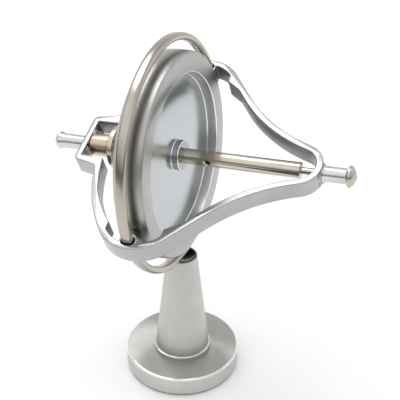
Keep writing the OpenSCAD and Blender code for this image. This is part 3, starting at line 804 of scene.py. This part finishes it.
class GYRO_OT_turn_axle(bpy.types.Operator):
    """Turns the axle with the pivot pins' seats, and its sleeve, and drills the string hole"""

    bl_idname = "gyro.turn_axle"
    bl_label = "Turn the axle"

    def execute(self, context):
        s = context.scene.rotor_sizes
        tints = context.scene.finishes
        place = gyro_place()
        warm = spun_metal("axle_polish", tints.axle, 0.14, anisotropy=0.55, grooves=0.12, mottle=0.05)
        axle = turn_profile("axle_turned", [
            (0, -s.sleeve_back + s.pivot_seat, 0),
            (s.pivot_r, -s.sleeve_back + s.pivot_seat, 0),
            (s.pivot_r, -s.sleeve_back, 0),
            (s.seat_r, -s.sleeve_back, CRISP),
            (s.seat_r, s.shoulder_x, CRISP),
            (s.axle_r, s.shoulder_x, 0.15),
            (s.axle_r, s.front_x, s.chamfer),
            (s.pivot_r, s.front_x, CRISP),
            (s.pivot_r, s.front_x - s.pivot_seat, 0),
            (0, s.front_x - s.pivot_seat, 0),
        ], place=place)
        mouth = s.hole_r + s.hole_flare
        drill_end = 4
        drill_place = (
            Matrix.Translation(GYRO_CENTRE + SPIN_AXIS * s.hole_x * MM)
            @ Matrix.Rotation(-SPIN_TILT, 4, "Y")
            @ Matrix.Rotation(math.pi / 2 - s.hole_turn, 4, "X")
        )
        drill = turn_profile("string_drill", [
            (0, -drill_end, 0),
            (mouth, -drill_end, 0),
            (mouth, -s.axle_r - CRISP, 0),
            (s.hole_r, -s.axle_r + s.hole_flare, 0),
            (s.hole_r, s.axle_r - s.hole_flare, 0),
            (mouth, s.axle_r + CRISP, 0),
            (mouth, drill_end, 0),
            (0, drill_end, 0),
        ], place=drill_place)
        cut(axle, drill)
        select_only(axle)
        bpy.ops.object.shade_smooth_by_angle(angle=TURNED_SHARP)
        finish_piece(axle, "rotor", ["axle"], warm)
        # Painted shade: a darker metal inside the string hole
        dark = metal("hole_painted_shade", tints.fastener, 0.5, grooves=0.2)
        mouth_bottom = s.axle_r - s.hole_flare - EASED
        burnish(axle, dark, lambda radius, along: (
            radius < mouth_bottom and abs(along - s.hole_x) < s.hole_r
        ))
        sleeve = turn_profile("sleeve_turned", [
            (s.seat_r, -s.sleeve_back, EASED),
            (s.sleeve_r, -s.sleeve_back, SOFT),
        ] + [
            (s.sleeve_r - depth, -s.sleeve_front - behind, edge) for behind, depth, edge in SLEEVE_GROOVE
        ] + [
            (s.sleeve_r, -s.sleeve_front, EASED),
            (s.seat_r, -s.sleeve_front, 0),
        ], place=place, closed=True)
        golden = spun_metal("sleeve_polish", tints.sleeve, 0.2, anisotropy=0.5, grooves=0.15, mottle=0.05)
        finish_piece(sleeve, "rotor", ["sleeve"], golden)
        return {"FINISHED"}


class GYRO_OT_finish_small(bpy.types.Operator):
    """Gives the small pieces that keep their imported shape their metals"""

    bl_idname = "gyro.finish_small"
    bl_label = "Finish the small pieces"

    def execute(self, context):
        tints = context.scene.finishes
        pivot = spun_metal("pivot_ground", tints.pivot, 0.2, grooves=0.1)
        brass = spun_metal("bush_brass", tints.brass, 0.28, grooves=0.2)
        steel = metal("fastener_steel", tints.fastener, 0.4, grooves=0.3, scratches=0.1)
        pad = rubber("pad_rubber", tints.rubber)
        finishes = {
            pivot: ("left_pivot_pin", "right_pivot_pin", "left_thrust_ball", "right_thrust_ball"),
            brass: ("left_bush", "right_bush"),
            steel: ("column_screw", "screw_washer"),
            pad: ("base_pad",),
        }
        for material, nodes in finishes.items():
            for node in nodes:
                piece = frame["nodes"][node]
                piece.data.materials.clear()
                piece.data.materials.append(material)
        return {"FINISHED"}


class GYRO_OT_set_stage(bpy.types.Operator):
    """Sets the floor, the soft light and the camera"""

    bl_idname = "gyro.set_stage"
    bl_label = "Set the stage"

    def execute(self, context):
        s = context.scene.stage_settings
        self.floor(s)
        self.world(context)
        for lamp in LAMPS:
            self.lamp(*lamp)
        self.camera(context, s)
        context.scene.view_settings.view_transform = "Standard"
        return {"FINISHED"}

    def floor(self, s):
        clear_selection()
        bpy.ops.mesh.primitive_circle_add(
            vertices=96, radius=s.floor_r * MM, fill_type="NGON",
            location=(-s.floor_left * MM, s.floor_back * MM, 0),
        )
        floor = bpy.context.object
        floor.name = "stage_floor"
        make = Nodes("pale_floor")
        tree = make.tree
        diffuse = make.add("ShaderNodeBsdfDiffuse", Color=(*s.floor_colour, 1))
        glow = make.add("ShaderNodeEmission", Color=(1, 1, 1, 1), Strength=s.floor_glow)
        seen = make.add("ShaderNodeLightPath")
        gloss = make.maths("MAXIMUM", seen.outputs["Is Glossy Ray"], seen.outputs["Is Transmission Ray"])
        any_view = make.maths("MAXIMUM", seen.outputs["Is Camera Ray"], gloss)
        lit = make.add("ShaderNodeMixShader", Fac=any_view)
        both = make.add("ShaderNodeAddShader")
        tree.links.new(diffuse.outputs[0], both.inputs[0])
        tree.links.new(glow.outputs[0], both.inputs[1])
        tree.links.new(diffuse.outputs[0], lit.inputs[1])
        tree.links.new(both.outputs[0], lit.inputs[2])
        tree.links.new(lit.outputs[0], tree.nodes["Material Output"].inputs["Surface"])
        tree.nodes.remove(make.shader)
        floor.data.materials.append(make.material)

    def world(self, context):
        """A soft studio: a room with a dark horizon on the camera's side, and a pale backdrop beyond."""
        world = bpy.data.worlds.new("studio")
        context.scene.world = world
        world.use_nodes = True
        tree = world.node_tree
        coordinate = tree.nodes.new("ShaderNodeTexCoord")
        split = tree.nodes.new("ShaderNodeSeparateXYZ")
        tree.links.new(coordinate.outputs["Generated"], split.inputs[0])
        room = self.world_ramp(tree, split.outputs["Z"], ROOM_LEVELS)
        backdrop = self.world_ramp(tree, split.outputs["Z"], BACKDROP_LEVELS)
        side = self.world_ramp(tree, split.outputs["Y"], BACKDROP_SIDE)
        studio = self.world_mix(tree, side, room)
        tree.links.new(backdrop, studio.inputs["B"])
        seen = tree.nodes.new("ShaderNodeLightPath")
        shown = self.world_mix(tree, seen.outputs["Is Camera Ray"], studio.outputs["Result"])
        shown.inputs["B"].default_value = (*context.scene.stage_settings.backdrop_colour, 1)
        tree.links.new(shown.outputs["Result"], tree.nodes["Background"].inputs["Color"])

    def world_mix(self, tree, factor, first):
        """A node that mixes two colours of the world."""
        mix = tree.nodes.new("ShaderNodeMix")
        mix.data_type = "RGBA"
        tree.links.new(factor, mix.inputs["Factor"])
        tree.links.new(first, mix.inputs["A"])
        return mix

    def world_ramp(self, tree, value, stops):
        """Levels by a direction's height or depth, from 0 for straight down or towards -Y, to 1."""
        scale = tree.nodes.new("ShaderNodeMapRange")
        scale.inputs["From Min"].default_value = -1
        ramp = tree.nodes.new("ShaderNodeValToRGB")
        elements = ramp.color_ramp.elements
        while len(elements) < len(stops):
            elements.new(0.5)
        for element, (position, level) in zip(elements, stops):
            element.position = position
            element.color = (level, level, level, 1)
        tree.links.new(value, scale.inputs["Value"])
        tree.links.new(scale.outputs["Result"], ramp.inputs["Fac"])
        return ramp.outputs["Color"]

    def lamp(self, name, place, size, power):
        clear_selection()
        bpy.ops.object.light_add(type="AREA", location=place)
        lamp = bpy.context.object
        lamp.name = name
        lamp.data.shape = "SQUARE"
        lamp.data.size = size
        lamp.data.energy = power
        aim = LAMP_AIM - lamp.location
        lamp.rotation_euler = aim.to_track_quat("-Z", "Y").to_euler()

    def camera(self, context, s):
        forward = Vector((
            -math.sin(s.camera_azimuth) * math.cos(s.camera_pitch),
            math.cos(s.camera_azimuth) * math.cos(s.camera_pitch),
            -math.sin(s.camera_pitch),
        ))
        right = Vector((math.cos(s.camera_azimuth), math.sin(s.camera_azimuth), 0))
        aim = right * s.aim_side * MM + Vector((0, 0, s.aim_height * MM))
        data = bpy.data.cameras.new("photo_camera")
        camera = bpy.data.objects.new("photo_camera", data)
        context.scene.collection.objects.link(camera)
        data.lens = s.lens
        data.sensor_width = 36
        data.clip_start = 0.01
        camera.rotation_mode = "QUATERNION"
        camera.rotation_quaternion = forward.to_track_quat("-Z", "Y") @ Matrix.Rotation(
            s.camera_roll, 3, "Z"
        ).to_quaternion()
        camera.location = aim - forward * s.distance * MM
        context.scene.camera = camera


class GYRO_PT_pieces(bpy.types.Panel):
    """Lists the steps and the sizes that they use"""

    bl_idname = "GYRO_PT_pieces"
    bl_label = "Gyroscope"
    bl_space_type = "VIEW_3D"
    bl_region_type = "UI"
    bl_category = "Gyroscope"

    def draw(self, context):
        layout = self.layout
        for operator in OPERATORS:
            layout.operator(operator.bl_idname)
        for name in GROUPS:
            box = layout.box()
            box.label(text=name.replace("_", " ").capitalize())
            group = getattr(context.scene, name)
            for key in group.bl_rna.properties.keys():
                if key not in ("rna_type", "name"):
                    box.prop(group, key)


GROUPS = {
    "stand_sizes": StandSizes,
    "gyro_sizes": GyroSizes,
    "rotor_sizes": RotorSizes,
    "finishes": Finishes,
    "stage_settings": StageSettings,
}
OPERATORS = (
    GYRO_OT_turn_stand,
    GYRO_OT_turn_ring,
    GYRO_OT_dress_frame,
    GYRO_OT_turn_pins,
    GYRO_OT_turn_rotor,
    GYRO_OT_turn_axle,
    GYRO_OT_finish_small,
    GYRO_OT_set_stage,
)


def register():
    for group in GROUPS.values():
        bpy.utils.register_class(group)
    for name, group in GROUPS.items():
        setattr(bpy.types.Scene, name, PointerProperty(type=group))
    for operator in OPERATORS:
        bpy.utils.register_class(operator)
    bpy.utils.register_class(GYRO_PT_pieces)


def unregister():
    bpy.utils.unregister_class(GYRO_PT_pieces)
    for operator in reversed(OPERATORS):
        bpy.utils.unregister_class(operator)
    for name, group in GROUPS.items():
        delattr(bpy.types.Scene, name)
        bpy.utils.unregister_class(group)


def main():
    """Registers the classes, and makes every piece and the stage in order."""
    register()
    bpy.ops.gyro.turn_stand()
    bpy.ops.gyro.turn_ring()
    bpy.ops.gyro.dress_frame()
    bpy.ops.gyro.turn_pins()
    bpy.ops.gyro.turn_rotor()
    bpy.ops.gyro.turn_axle()
    bpy.ops.gyro.finish_small()
    bpy.ops.gyro.set_stage()


if __name__ == "__main__":
    main()
